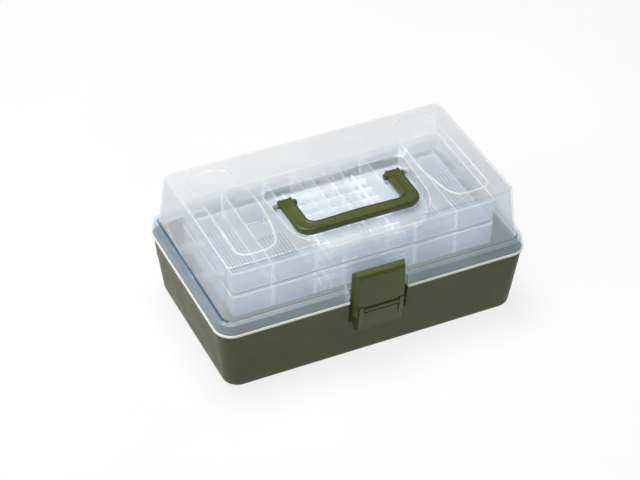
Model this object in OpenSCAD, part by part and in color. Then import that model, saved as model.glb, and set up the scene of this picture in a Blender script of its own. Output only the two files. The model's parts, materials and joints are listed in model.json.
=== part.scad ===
// Portable sewing box: a drafted tub, a translucent lid hinged along the back, and two
// divided trays that swing up and back on four arms when the lid opens.
// Origin: centre of the tub's underside. +X to the right, -Y to the front, +Z up. Millimetres.

/* [Tub] */
// Length of the tub's underside, measured to sharp edges
tub_bottom_l = 309; // [300:1:312]
// Depth of the tub's underside, measured to sharp edges
tub_bottom_w = 176; // [170:1:178]
// Length of the tub just under its rim
tub_top_l = 325.4; // [324:0.1:326]
// Depth of the tub just under its rim
tub_top_w = 187; // [186:0.5:188]
// Height of the tub's rim, where the lid rests
rim_z = 71.5; // [71:0.1:72]
// Wall thickness of the tub
tub_wall = 2.5; // [2:0.1:3]
// Radius of the tub's upright corners
tub_corner_r = 15; // [12:1:18]

/* [Lid] */
// Length of the lid's bottom lip, the longest part of the box
lip_l = 330; // [328:1:332]
// Depth of the lid's bottom lip
lip_w = 192; // [191:1:193]
// Length of the lid's wall at its foot
lid_foot_l = 312.5; // [310:0.5:313]
// Depth of the lid's wall at its foot
lid_foot_w = 175; // [173:0.5:176]
// Length of the lid at its top edge
lid_top_l = 303.2; // [300:0.2:305]
// Depth of the lid at its top edge
lid_top_w = 160.6; // [158:0.2:162]
// Height of the lid's top above the ground
lid_top_z = 143; // [142.5:0.5:145]
// Wall thickness of the lid
lid_wall = 2.2; // [1.8:0.1:2.4]
// Radius of the lid's long top edges
lid_edge_r = 3.5; // [2.5:0.5:5]

/* [Trays] */
// Length of each tray
tray_l = 280; // [276:1:282]
// Depth of each tray
tray_w = 126; // [120:1:126]
// Height of each tray
tray_h = 27.4; // [24:0.2:27.8]
// Thickness of the tray's walls and floor
tray_wall = 1.8; // [1.4:0.1:2.2]
// Distances of the fixed partitions from the tray's centre
partition_x = [22.5, 53, 97.5];

/* [Tray linkage] */
// Distance from an arm's tub pivot to its lower tray pivot
arm_pitch = 45.8; // [45:0.1:46]
// Angle of the arms above the horizontal when the box is shut
arm_rest_deg = 38; // [37:0.5:39]
// Width of an arm
arm_w = 10; // [8:1:11]
// Distance from the front arm's tub pivot to the link's pivot on it
link_on_arm = 19.6; // [19:0.1:20]

/* [Latch] */
// Width of the latch lever across its back edges
latch_w = 55; // [52:1:57]
// Width of the bracket under the lever
bracket_w = 47; // [44:1:48]

/* [Handle] */
// Width of the carrying handle
handle_w = 131; // [120:1:134]
// Depth of the handle from its front edge to its pivot
handle_reach = 51; // [50:1:58]
// Width of the handle's arms
handle_bar = 15.5; // [13:0.5:17]
// Width of the handle's front bar
handle_grip_w = 12.5; // [11:0.5:14]

/* [Hidden] */
$fn = 48;
corner_fn = 32;

OLIVE = [0.33, 0.36, 0.20];
CLEAR = [0.86, 0.88, 0.88, 0.45];
MILKY = [0.74, 0.80, 0.84, 0.75];
PALE = [0.80, 0.84, 0.87];
STEEL = [0.72, 0.73, 0.75];

eps = 0.01;
seat_gap = 0.3;        // shut gap between the tub's rim and the lid's lip

// tub
tub_bottom_r = 7;      // rounding along the tub's bottom edge
rim_h = 2.5;           // height of the rim's outer bead
rim_l = 327.6;
rim_w = 189;
upstand_l = 322;       // inner collar that the lid's skirt drops over
upstand_w = 184;
upstand_t = 2.3;
upstand_z = 75;
lug_room_x = 140;      // the collar is left out beyond these in the rear corners
lug_room_y = 66;
pocket_w = 62;         // hollow in the tub's front behind the latch
pocket_y = -86.5;
pocket_z = 54;
pocket_low_z = 46;

// lid
lip_z = rim_z + seat_gap;
lip_h = 2.5;
skirt_l = 327;
skirt_w = 189;
skirt_t = 1.8;
ledge_z = 85.5;        // top of the ledge between skirt and wall
ledge_t = 2.2;
bay_w = 62;            // the skirt steps back over this width behind the latch
bay_front_y = -88;
bay_back_y = -85.8;
recess_back_w = 150;   // handle recess in the lid's top
recess_floor_z = 131;
recess_back_y = 14;
recess_back_r = 8;
recess_bow_r = 49.6;   // its sides bow in to a mouth over the lid's front edge
recess_bow_x = 22.6;
recess_bow_y = -40.1;

// back hinges
hinge_x = 82;
hinge_y = 98;
hinge_z = 71;
hinge_r = 3.5;
hinge_clear_r = 4.1;
hinge_pin_r = 1.5;
hinge_bore_r = 1.6;
hinge_head_r = 2.6;
lid_knuckle_w = 17;
base_knuckle_w = 8;
knuckle_gap = 0.4;
hinge_reach = lid_knuckle_w / 2 + knuckle_gap + base_knuckle_w;
hinge_head_room = 1.8;

// trays and arms
tray_back_y = 60;
tray_mid_y = tray_back_y - tray_w / 2;
tray_rise = arm_pitch * sin(arm_rest_deg);
tray_run = arm_pitch * cos(arm_rest_deg);
arm_base_z = 49.6;
front_pivot_y = 28;
rear_pivot_y = 76;
upper_tray_z = 95;
lower_tray_z = upper_tray_z - tray_rise;
partition_t = 1.4;
partition_drop = 1.5;  // partitions stop this far under the tray's rim
pivot_r = 2;           // rivet shanks
pivot_bore_r = 2.1;
head_r = 4;
head_t = 1.3;
arm_x = 142.6;         // inner face of the arms
arm_t = 3;
spacer_t = arm_x - tray_l / 2 - 0.2;
boss_r = 6;
boss_x = arm_x + arm_t + 0.3;
boss_end_x = 159.2;

// lid links
link_x = 147.6;        // inner face of the links
link_t = 2.2;
link_w = 8;
link_end_r = 5.1;
link_free_bore_r = 3.7; // the linkage's open pivot: the lid's rivet has room here
lug_x = 150.2;
lug_t = 2.2;
lug_r = 5;
lug_y = 85.5;
lug_z = 76.3;
link_head_r = 5;
link_y = front_pivot_y - link_on_arm * cos(arm_rest_deg);
link_z = arm_base_z + link_on_arm * sin(arm_rest_deg);

// latch
latch_y = -98;
latch_z = 63.5;
latch_pin_r = 2;
latch_bore_r = 2.1;
latch_barrel_r = 3.5;
latch_barrel_w = 37.4;
ear_w = 4.2;
ear_r = 5.5;
latch_side_t = 3.2;
latch_face_y = -101.2;
latch_face_low_z = 69.6;
latch_face_top_z = 103;
latch_top_z = 105.6;
latch_top_y = -91;       // back of the latch lever's top
latch_back_y = -89.5;
latch_leg_r = 10;
latch_skin = 2.2;
hook_z = 84.9;
hook_half_w = 17;
catch_half_w = 18;

// handle
handle_pivot_y = -6;
handle_pivot_z = 137.5;
handle_t = 9;
handle_corner_r = 14;
handle_stub_r = 3;
handle_bore_r = 3.15;
handle_boss_r = 5.4;
handle_boss_x = 66.6;
handle_stub_end_x = 71;
handle_boss_end_x = 76;

// removable dividers
divider_t = 1.2;
divider_h = 22;
divider_gap = 0.4;
long_divider_x = 7.5;
cross_divider_y = tray_mid_y + 6;

// half depth of the tub's front face at a height
function tub_face(z) = tub_bottom_w / 2 + (tub_top_w - tub_bottom_w) / 2 * z / (rim_z - rim_h);

// half length of the lid's wall at a height
function lid_half_l(z) = (lid_foot_l + (lid_top_l - lid_foot_l) * (z - ledge_z) / (lid_top_z - ledge_z)) / 2;
// half depth of the lid's wall at a height
function lid_half_w(z) = (lid_foot_w + (lid_top_w - lid_foot_w) * (z - ledge_z) / (lid_top_z - ledge_z)) / 2;

// rectangle with round corners, centred
module round_rect(l, w, r) {
    square([l - 2 * r, w], center = true);
    square([l, w - 2 * r], center = true);
    for (x = [-1, 1], y = [-1, 1])
        translate([x * (l / 2 - r), y * (w / 2 - r)]) circle(r);
}

// thin layer of a drafted shell
module layer(l, w, r, z) {
    translate([0, 0, z]) linear_extrude(eps) round_rect(l, w, r, $fn = corner_fn);
}

// straight ring between two rounded outlines
module ring(l, w, r, t, z0, z1) {
    translate([0, 0, z0]) linear_extrude(z1 - z0) difference() {
        round_rect(l, w, r);
        round_rect(l - 2 * t, w - 2 * t, r - t);
    }
}

// profile drawn in Y and Z, drawn out along X
module along_x(x0, x1) {
    translate([x0, 0, 0]) rotate([90, 0, 90]) linear_extrude(x1 - x0) children();
}

// round bar along X
module bar(x0, x1, y, z, r) {
    translate([x0, y, z]) rotate([0, 90, 0]) cylinder(r = r, h = x1 - x0);
}

// the same thing on the right and mirrored on the left
module side(s) {
    mirror([s < 0 ? 1 : 0, 0, 0]) children();
}

// ---- tub ----

module tub_solid(inset, floor_z) {
    l0 = tub_bottom_l - 2 * inset;
    w0 = tub_bottom_w - 2 * inset;
    l1 = tub_top_l - 2 * inset;
    w1 = tub_top_w - 2 * inset;
    wall_top = rim_z - rim_h;
    r = tub_corner_r - inset;
    hull() {
        layer(l0 - 1.2 * tub_bottom_r, w0 - 1.2 * tub_bottom_r, r - 3, floor_z);
        layer(l0 - 0.4 * tub_bottom_r, w0 - 0.4 * tub_bottom_r, r, floor_z + 0.3 * tub_bottom_r);
        layer(l0 + (l1 - l0) * (floor_z + tub_bottom_r) / wall_top,
              w0 + (w1 - w0) * (floor_z + tub_bottom_r) / wall_top, r, floor_z + tub_bottom_r);
        layer(l1, w1, r, wall_top - eps + (inset > 0 ? rim_h : 0));
    }
}

module pocket_profile(back) {
    polygon([[-100, pocket_low_z - back], [-tub_face(pocket_low_z), pocket_low_z - back],
        [pocket_y + back, pocket_z - back], [pocket_y + back, upstand_z + 1], [-100, upstand_z + 1]]);
}

module base_knuckle(x0) {
    difference() {
        union() {
            bar(x0, x0 + base_knuckle_w, hinge_y, hinge_z, hinge_r);
            along_x(x0, x0 + base_knuckle_w)
                polygon([[92.6, 69.5], [92.4, 60], [hinge_y + 1.6, hinge_z - 3.2], [hinge_y, hinge_z]]);
        }
        bar(x0 - 1, x0 + base_knuckle_w + 1, hinge_y, hinge_z, hinge_pin_r);
    }
}

module base_tub() {
    color(OLIVE) difference() {
        union() {
            difference() {
                union() {
                    tub_solid(0, 0);
                    ring(rim_l, rim_w, tub_corner_r + 1, 4, rim_z - rim_h, rim_z);
                    ring(upstand_l, upstand_w, tub_corner_r - 1, upstand_t, rim_z - rim_h - 1, upstand_z);
                }
                tub_solid(tub_wall, tub_wall);
                // hinge knuckles of the lid turn here
                for (s = [-1, 1])
                    bar(s * hinge_x - lid_knuckle_w / 2 - knuckle_gap,
                        s * hinge_x + lid_knuckle_w / 2 + knuckle_gap, hinge_y, hinge_z, hinge_clear_r);
            }
            // back of the latch pocket
            intersection() {
                along_x(-pocket_w / 2 - tub_wall, pocket_w / 2 + tub_wall) pocket_profile(tub_wall);
                union() {
                    tub_solid(0, 0);
                    translate([0, 0, rim_z - rim_h - 1])
                        linear_extrude(rim_h + 1) round_rect(rim_l, rim_w, tub_corner_r + 1);
                }
            }
            for (s = [-1, 1]) {
                for (x = [hinge_x - lid_knuckle_w / 2 - knuckle_gap - base_knuckle_w,
                          hinge_x + lid_knuckle_w / 2 + knuckle_gap])
                    side(s) base_knuckle(x);
                for (y = [front_pivot_y, rear_pivot_y])
                    side(s) bar(boss_x, boss_end_x, y, arm_base_z, boss_r);
            }
        }
        along_x(-pocket_w / 2, pocket_w / 2) pocket_profile(0);
        // the collar stops beside the latch
        translate([-bay_w / 2 - 4, -tub_top_w / 2, rim_z]) cube([bay_w + 8, 20, upstand_z]);
        // room for the lid's lugs in the rear corners of the collar
        for (s = [-1, 1]) {
            side(s) translate([lug_room_x, lug_room_y, rim_z]) cube([30, 40, upstand_z]);
            for (y = [front_pivot_y, rear_pivot_y])
                side(s) bar(boss_x - 1, boss_x + 6, y, arm_base_z, pivot_r);
        }
    }
}

module base_rivets() {
    color(PALE) for (s = [-1, 1], y = [front_pivot_y, rear_pivot_y]) side(s) {
        bar(arm_x - 0.2 - head_t, arm_x - 0.2, y, arm_base_z, head_r);
        bar(arm_x - 0.3, boss_x + 6, y, arm_base_z, pivot_r);
    }
}

module hinge_pin(s) {
    color(STEEL) side(s) {
        bar(hinge_x - hinge_reach - 0.4, hinge_x + hinge_reach + 0.4, hinge_y, hinge_z, hinge_pin_r);
        bar(hinge_x + hinge_reach, hinge_x + hinge_reach + 1.1, hinge_y, hinge_z, hinge_head_r);
    }
}
module hinge_pin_left() { hinge_pin(-1); }
module hinge_pin_right() { hinge_pin(1); }

// ---- latch ----

module latch_bracket() {
    half = bracket_w / 2;
    color(OLIVE) difference() {
        union() {
            along_x(-half, half) polygon([[-tub_face(34), 34], [-tub_face(34) - 3, 34.5],
                [latch_y - 0.4, 38], [latch_y - 0.4, latch_z - 5.6], [-93.2, latch_z - 5.6],
                [-tub_face(pocket_low_z), pocket_low_z]]);
            for (s = [-1, 1]) side(s) intersection() {
                union() {
                    bar(half - ear_w, half, latch_y, latch_z, ear_r);
                    along_x(half - ear_w, half) polygon([[latch_y - 0.4, 45], [latch_y - 2.8, 57],
                        [latch_y - ear_r, latch_z], [latch_y + ear_r, latch_z], [latch_y + 4.8, 50]]);
                }
                translate([0, latch_y - 3.2, 0]) cube([60, 20, 100]);
            }
        }
        bar(-half - 1, half + 1, latch_y, latch_z, latch_pin_r);
    }
}

module latch_pin() {
    reach = latch_w / 2 - 1.2;
    color(OLIVE) bar(-reach, reach, latch_y, latch_z, latch_pin_r);
}

module latch_side_profile() {
    polygon([[latch_y - 3, latch_z], [latch_back_y, latch_z], [latch_back_y, ledge_z],
        [latch_top_y, latch_top_z], [-98.6, latch_top_z], [latch_face_y, latch_face_top_z],
        [latch_face_y, latch_z]]);
    intersection() {
        translate([latch_y, latch_z]) circle(latch_leg_r);
        translate([latch_face_y, latch_z - latch_leg_r])
            square([latch_back_y - latch_face_y, latch_leg_r + 2]);
    }
}

module latch_lever() {
    half = latch_w / 2;
    face_half = 24;
    color(OLIVE) difference() {
        union() {
            // shell: sides and top slope in to a smaller front face
            difference() {
                intersection() {
                    along_x(-half, half) latch_side_profile();
                    linear_extrude(200) polygon([[-half, -80], [-half, -92], [-face_half, latch_face_y],
                        [face_half, latch_face_y], [half, -92], [half, -80]]);
                }
                // inside of the shell
                along_x(-half + latch_side_t, half - latch_side_t)
                    polygon([[-70, 0], [latch_face_y + latch_skin, 0],
                        [latch_face_y + latch_skin, latch_face_top_z - 0.6], [-97.6, latch_top_z - latch_skin],
                        [-70, latch_top_z - latch_skin]]);
                // opening under the front face
                translate([-half + latch_side_t, -110, 40])
                    cube([latch_w - 2 * latch_side_t, 30, latch_face_low_z - 40]);
            }
            bar(-latch_barrel_w / 2, latch_barrel_w / 2, latch_y, latch_z, latch_barrel_r);
            along_x(-latch_barrel_w / 2, latch_barrel_w / 2)
                polygon([[latch_y - 1.6, latch_z], [latch_y + 1.6, latch_z], [latch_y + 1.6, 73],
                    [latch_face_y + 1, 76], [latch_face_y + 1, 72]]);
            // hook over the lid's catch
            along_x(-hook_half_w, hook_half_w) polygon([[latch_face_y + 1, hook_z], [-89.2, hook_z],
                [-89.2, hook_z + 1.2], [latch_face_y + 1, hook_z + 5]]);
        }
        bar(-half + 0.9, half - 0.9, latch_y, latch_z, latch_bore_r);
    }
}

// ---- lid ----

module lid_wall_solid(inset, z0, z1) {
    r = 8 - inset / 2;
    e = lid_edge_r - inset / 2;
    zs = z1 - e;
    hull() {
        layer(2 * lid_half_l(z0) - 2 * inset, 2 * lid_half_w(z0) - 2 * inset, r, z0);
        layer(2 * lid_half_l(zs) - 2 * inset, 2 * lid_half_w(zs) - 2 * inset, r, zs);
        for (a = [30, 60, 90])
            layer(2 * lid_half_l(zs) - 2 * inset - 2 * e * (1 - cos(a)),
                  2 * lid_half_w(zs) - 2 * inset - 2 * e * (1 - cos(a)), r, zs + e * sin(a) - eps);
    }
}

// points of an arc, from angle a0 to a1 in n steps
function arc(cx, cy, r, a0, a1, n) =
    [for (i = [0 : n]) let (a = a0 + (a1 - a0) * i / n) [cx + r * cos(a), cy + r * sin(a)]];

// plan of the handle's recess, grown by g
module recess_plan(g) {
    back_x = recess_back_w / 2 - recess_back_r;
    back_y = recess_back_y - recess_back_r;
    half = concat(arc(recess_bow_x, recess_bow_y, recess_bow_r + g, -90, -4, 12),
        arc(back_x, back_y, recess_back_r + g, 0, 90, 4));
    polygon(concat(half, [for (i = [len(half) - 1 : -1 : 0]) [-half[i][0], half[i][1]]]));
}

module lid_knuckle(s) {
    x0 = s * hinge_x - lid_knuckle_w / 2;
    difference() {
        union() {
            bar(x0, x0 + lid_knuckle_w, hinge_y, hinge_z, hinge_r);
            along_x(x0, x0 + lid_knuckle_w)
                polygon([[93.4, lip_z], [hinge_y - 3, hinge_z + 0.8], [hinge_y + 1.6, hinge_z + 3.2],
                    [94, hinge_z + 10], [93.4, hinge_z + 10]]);
        }
        bar(x0 - 1, x0 + lid_knuckle_w + 1, hinge_y, hinge_z, hinge_bore_r);
    }
}

module lid_lug(s) {
    side(s) difference() {
        union() {
            bar(lug_x, lug_x + lug_t, lug_y, lug_z, lug_r);
            translate([lug_x, lug_y - lug_r, lug_z]) cube([lug_t, 2 * lug_r, ledge_z - 1.2 - lug_z]);
            translate([lug_x, lug_y - lug_r, ledge_z - ledge_t - 1.5]) cube([6, 2 * lug_r, 2.7]);
            translate([lug_x, lug_y - lug_r, ledge_z - ledge_t - 1.5]) cube([5, 5, 6]);
        }
        bar(lug_x - 1, lug_x + lug_t + 1, lug_y, lug_z, pivot_r);
    }
}

module lid_shell() {
    color(CLEAR) difference() {
        union() {
            difference() {
                union() {
                    lid_wall_solid(0, ledge_z - ledge_t, lid_top_z);
                    // skirt with its ledge, and the lip along its foot
                    hull() {
                        layer(skirt_l, skirt_w, 17, lip_z + 1);
                        layer(skirt_l, skirt_w, 17, ledge_z - 2);
                        layer(skirt_l - 1.2, skirt_w - 1.2, 16, ledge_z - 0.6);
                        layer(skirt_l - 4, skirt_w - 4, 15, ledge_z - eps);
                    }
                    translate([0, 0, lip_z]) linear_extrude(lip_h) round_rect(lip_l, lip_w, 18);
                }
                // hollow under the ledge, inside the skirt
                linear_extrude(ledge_z - ledge_t)
                    round_rect(skirt_l - 2 * skirt_t, skirt_w - 2 * skirt_t, 15);
                lid_wall_solid(lid_wall, ledge_z - ledge_t - 1, lid_top_z - lid_wall);
                // the skirt steps back behind the latch
                translate([-bay_w / 2, -100, 60]) cube([bay_w, 100 + bay_front_y, ledge_z - 60 + 1]);
                // the tub's knuckles and the pins' heads turn here
                for (s = [-1, 1])
                    side(s) bar(hinge_x - hinge_reach - knuckle_gap, hinge_x + hinge_reach + hinge_head_room,
                        hinge_y, hinge_z, hinge_clear_r);
            }
            // walls of the latch bay
            translate([-bay_w / 2 - 1, bay_front_y, lip_z])
                cube([bay_w + 2, bay_back_y - bay_front_y, ledge_z - lip_z]);
            for (s = [-1, 1]) side(s)
                along_x(bay_w / 2, bay_w / 2 + 2.5) polygon([[-95.4, lip_z], [-95.4, 84],
                    [-88.4, 91], [bay_back_y, 91], [bay_back_y, lip_z]]);
            // catch for the latch
            along_x(-catch_half_w, catch_half_w)
                polygon([[bay_front_y + 1, 80], [-91.3, 82], [-91.3, 84.4], [bay_front_y + 1, 84.4]]);
            // floor and sides of the handle's recess
            intersection() {
                translate([0, 0, recess_floor_z - lid_wall]) linear_extrude(30) recess_plan(lid_wall);
                lid_wall_solid(0, ledge_z - ledge_t, lid_top_z);
            }
            for (s = [-1, 1]) {
                lid_knuckle(s);
                lid_lug(s);
            }
        }
        difference() {
            translate([0, 0, recess_floor_z]) linear_extrude(30) recess_plan(0);
            for (s = [-1, 1]) side(s)
                bar(handle_boss_x, handle_boss_end_x, handle_pivot_y, handle_pivot_z, handle_boss_r);
        }
        for (s = [-1, 1])
            side(s) bar(handle_boss_x - 1, handle_stub_end_x + 0.4,
                handle_pivot_y, handle_pivot_z, handle_bore_r);
    }
}

module lid_link_rivets() {
    color(PALE) for (s = [-1, 1]) side(s) {
        bar(link_x - 0.3 - head_t, link_x - 0.3, lug_y, lug_z, link_head_r);
        bar(link_x - 0.4, lug_x + lug_t + 0.2, lug_y, lug_z, pivot_r);
        bar(lug_x + lug_t, lug_x + lug_t + 1, lug_y, lug_z, head_r - 0.8);
    }
}

// ---- handle ----

module handle() {
    half = handle_w / 2;
    front = handle_pivot_y - handle_reach;
    back_end = handle_pivot_y + handle_t / 2;
    low = handle_pivot_z - handle_t / 2;
    color(OLIVE) union() {
        translate([0, 0, low]) linear_extrude(handle_t) difference() {
            union() {
                translate([0, (front + handle_pivot_y) / 2])
                    round_rect(handle_w, handle_reach, handle_corner_r);
                translate([-half, front + handle_corner_r])
                    square([handle_w, handle_pivot_y - front - handle_corner_r]);
            }
            // grip gap, open at the back
            translate([0, front + handle_grip_w + 30]) round_rect(handle_w - 2 * handle_bar - 1, 60, 8);
            translate([-half, handle_pivot_y]) square([handle_w, 60]);
        }
        for (s = [-1, 1]) side(s) {
            bar(half - handle_bar + 0.5, half, handle_pivot_y, handle_pivot_z, handle_t / 2);
            bar(half - eps, handle_stub_end_x, handle_pivot_y, handle_pivot_z, handle_stub_r);
        }
    }
}

// ---- trays ----

// n counts the trays from the bottom, and the arms' pivots with them
module tray(n) {
    z = lower_tray_z + (n - 1) * tray_rise;
    inner_w = tray_w - 2 * tray_wall;
    pivots_y = [for (y = [front_pivot_y, rear_pivot_y]) y - n * tray_run];
    pivot_z = arm_base_z + n * tray_rise;
    color(MILKY) difference() {
        union() {
            translate([0, tray_mid_y, z]) difference() {
                linear_extrude(tray_h) round_rect(tray_l, tray_w, 5);
                translate([0, 0, tray_wall]) linear_extrude(tray_h)
                    round_rect(tray_l - 2 * tray_wall, inner_w, 5 - tray_wall);
            }
            for (s = [-1, 1], x = partition_x)
                translate([s * x - partition_t / 2, tray_mid_y - inner_w / 2 - eps, z + tray_wall - eps])
                    cube([partition_t, inner_w + 2 * eps, tray_h - tray_wall - partition_drop]);
            for (s = [-1, 1], y = pivots_y)
                side(s) bar(tray_l / 2 - eps, tray_l / 2 + spacer_t, y, pivot_z, head_r + 1);
        }
        for (s = [-1, 1], y = pivots_y)
            side(s) bar(tray_l / 2 - 4, tray_l / 2 + 4, y, pivot_z, pivot_r);
    }
}
module tray_lower() { tray(1); }
module tray_upper() { tray(2); }

module tray_rivets(n) {
    color(PALE) for (s = [-1, 1], y = [front_pivot_y, rear_pivot_y]) side(s) {
        cy = y - n * tray_run;
        cz = arm_base_z + n * tray_rise;
        bar(tray_l / 2 - tray_wall, arm_x + arm_t + 0.3, cy, cz, pivot_r);
        bar(arm_x + arm_t + 0.2, arm_x + arm_t + 0.2 + head_t, cy, cz, head_r);
    }
}
module tray_lower_rivets() { tray_rivets(1); }
module tray_upper_rivets() { tray_rivets(2); }

// divider across a side bay, lying left to right
module cross_divider(z, s) {
    x0 = partition_x[1] + partition_t / 2 + divider_gap;
    x1 = partition_x[2] - partition_t / 2 - divider_gap;
    color(MILKY) side(s) translate([x0, cross_divider_y - divider_t / 2, z + tray_wall])
        cube([x1 - x0, divider_t, divider_h]);
}
module lower_divider_cross_left() { cross_divider(lower_tray_z, -1); }
module lower_divider_cross_right() { cross_divider(lower_tray_z, 1); }
module upper_divider_cross_left() { cross_divider(upper_tray_z, -1); }
module upper_divider_cross_right() { cross_divider(upper_tray_z, 1); }

// divider in the middle bay, lying front to back
module long_divider(z, s) {
    depth = tray_w - 2 * tray_wall - 2 * divider_gap;
    color(MILKY) side(s) translate([long_divider_x - divider_t / 2, tray_mid_y - depth / 2, z + tray_wall])
        cube([divider_t, depth, divider_h]);
}
module lower_divider_long_left() { long_divider(lower_tray_z, -1); }
module lower_divider_long_right() { long_divider(lower_tray_z, 1); }
module upper_divider_long_left() { long_divider(upper_tray_z, -1); }
module upper_divider_long_right() { long_divider(upper_tray_z, 1); }

// ---- arms and links ----

// flat bar with round ends and bores, lying from a pivot at an angle in the YZ plane
module arm(s, y) {
    color(MILKY) side(s) difference() {
        along_x(arm_x, arm_x + arm_t) translate([y, arm_base_z]) rotate(180 - arm_rest_deg) {
            translate([0, -arm_w / 2]) square([2 * arm_pitch, arm_w]);
            circle(arm_w / 2);
            translate([2 * arm_pitch, 0]) circle(arm_w / 2);
        }
        for (n = [0 : 2])
            bar(arm_x - 1, arm_x + arm_t + 1, y - n * tray_run, arm_base_z + n * tray_rise, pivot_bore_r);
        if (y == front_pivot_y)
            bar(arm_x - 1, arm_x + arm_t + 1, link_y, link_z, pivot_r);
    }
}
module front_arm_left() { arm(-1, front_pivot_y); }
module front_arm_right() { arm(1, front_pivot_y); }
module rear_arm_left() { arm(-1, rear_pivot_y); }
module rear_arm_right() { arm(1, rear_pivot_y); }

module arm_link_rivet(s) {
    color(PALE) side(s) {
        bar(arm_x + 0.2, link_x + link_t + 0.3, link_y, link_z, pivot_r);
        bar(arm_x + arm_t, link_x - 0.3, link_y, link_z, head_r);
        bar(link_x + link_t + 0.2, link_x + link_t + 0.2 + head_t, link_y, link_z, head_r);
    }
}
module arm_link_rivet_left() { arm_link_rivet(-1); }
module arm_link_rivet_right() { arm_link_rivet(1); }

module lid_link(s) {
    run = lug_y - link_y;
    rise = lug_z - link_z;
    color(MILKY) side(s) difference() {
        along_x(link_x, link_x + link_t) {
            translate([link_y, link_z]) rotate(atan2(rise, run))
                translate([0, -0.45 * link_w]) square([norm([run, rise]), 0.9 * link_w]);
            translate([link_y, link_z]) circle(link_w / 2);
            translate([lug_y, lug_z]) circle(link_end_r);
        }
        bar(link_x - 1, link_x + link_t + 1, link_y, link_z, pivot_bore_r);
        bar(link_x - 1, link_x + link_t + 1, lug_y, lug_z, link_free_bore_r);
    }
}
module lid_link_left() { lid_link(-1); }
module lid_link_right() { lid_link(1); }

base_tub();
latch_bracket();
latch_pin();
hinge_pin_left();
hinge_pin_right();
base_rivets();
lid_shell();
lid_link_rivets();
handle();
latch_lever();
tray_lower();
tray_lower_rivets();
lower_divider_cross_left();
lower_divider_cross_right();
lower_divider_long_left();
lower_divider_long_right();
tray_upper();
tray_upper_rivets();
upper_divider_cross_left();
upper_divider_cross_right();
upper_divider_long_left();
upper_divider_long_right();
front_arm_left();
front_arm_right();
rear_arm_left();
rear_arm_right();
arm_link_rivet_left();
arm_link_rivet_right();
lid_link_left();
lid_link_right();
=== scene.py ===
import json
import math

import bmesh
import bpy
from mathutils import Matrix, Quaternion, Vector


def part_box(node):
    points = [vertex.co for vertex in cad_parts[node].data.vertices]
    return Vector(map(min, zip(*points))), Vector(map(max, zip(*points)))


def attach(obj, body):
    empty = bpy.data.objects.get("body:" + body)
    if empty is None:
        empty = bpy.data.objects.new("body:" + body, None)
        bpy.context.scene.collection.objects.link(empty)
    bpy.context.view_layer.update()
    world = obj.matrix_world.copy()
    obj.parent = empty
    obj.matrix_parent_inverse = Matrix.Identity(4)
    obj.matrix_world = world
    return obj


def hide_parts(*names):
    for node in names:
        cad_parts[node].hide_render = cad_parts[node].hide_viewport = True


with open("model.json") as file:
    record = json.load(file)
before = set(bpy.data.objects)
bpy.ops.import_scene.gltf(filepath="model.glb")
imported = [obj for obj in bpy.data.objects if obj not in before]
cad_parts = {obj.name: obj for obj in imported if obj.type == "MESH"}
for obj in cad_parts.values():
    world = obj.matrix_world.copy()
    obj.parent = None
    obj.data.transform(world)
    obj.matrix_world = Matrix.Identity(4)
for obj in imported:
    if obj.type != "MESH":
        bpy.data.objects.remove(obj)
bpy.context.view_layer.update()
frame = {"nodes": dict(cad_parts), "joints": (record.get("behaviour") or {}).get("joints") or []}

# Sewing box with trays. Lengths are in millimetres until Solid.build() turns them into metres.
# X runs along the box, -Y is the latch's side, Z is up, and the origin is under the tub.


def node_box(node):
    """Lowest and highest corner of a CAD node, in millimetres."""
    low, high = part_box(node)
    return low * 1000, high * 1000


def pivot(joint):
    """Y and Z of a joint that turns about X, in millimetres."""
    for j in frame["joints"]:
        if j["name"] == joint:
            return j["pos_m"][1] * 1000, j["pos_m"][2] * 1000
    raise ValueError(joint)


# ---------------------------------------------------------------- driving sizes
# A pair is a length along X and a width along Y. _T and _WALL are a wall's thickness.

# tub
TUB_BOTTOM = (309.0, 176.0)
TUB_TOP = (325.4, 187.0)
TUB_WALL = 2.5
TUB_CORNER = 15.0
RIM_Z = 71.5
BEAD_Z = 69.0
BEAD = (327.6, 189.0)
COLLAR = (321.4, 183.4)
COLLAR_T = 2.3
COLLAR_FOOT_Z, COLLAR_Z = 70.6, node_box("base_tub")[1].z
FOOT_R = 7.0                              # rounding under the tub's walls
FOOT_LIFT = 0.8                           # the underside stands this far off what it rests on
FLOOR_FILLET = 5.0
POCKET_X = 31.0                           # half width of the hollow behind the latch
POCKET_Y = -86.5                          # its back
POCKET_LOW, POCKET_FULL = 46.0, 54.0      # where it starts, and where it has its full depth

# lid
TOP_Z = node_box("lid_shell")[1].z
LIP_Z = 71.8
LIP = (330.0, 192.0)
LIP_H = 2.5
SKIRT = (327.0, 189.0)
SKIRT_T = 1.8
LEDGE_Z = 85.5
LID_FOOT = (312.5, 175.0)
LID_TOP = (303.2, 160.6)
LID_MIDDLE_Z = 112.0
LID_WALL = 2.2
LID_EDGE, HOLLOW_EDGE = 3.5, 2            # rounding of the top's edge, outside and inside
BAY_Y = -88.0                             # back of the latch's bay in the skirt
RECESS_Z = 131.0
RECESS_BACK = 14.0
RECESS_CORNER, RECESS_CORNER_X = 8, 67.0
BOW_R, BOW_X, BOW_Y = 49.6, 22.6, -40.1   # round side of the recess
KNUCKLE_R = 3.5
LUG_Y, LUG_Z, LUG_R = 85.5, 76.3, 5       # pivot of the links at the lid

# trays
TRAY_LENGTH = 280.0
TRAY_WALL = 1.8
TRAY_RIM_H, TRAY_FOOT_H = 1.7, 4.4        # heights of the rim band painted pale as a highlight, and of the foot band with its painted shadow line
PARTITIONS = (22.5, 53.0, 97.5)
RIB_PITCH = 3.6

HANDLE_Y, HANDLE_Z = pivot("handle_hinge")
LATCH_Y, LATCH_Z = pivot("latch_hinge")
HINGE_Y, HINGE_Z = pivot("lid_hinge")

SMOOTH = 32                               # faces that meet at fewer degrees than this shade as one


# ---------------------------------------------------------------- mesh tools

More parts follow.
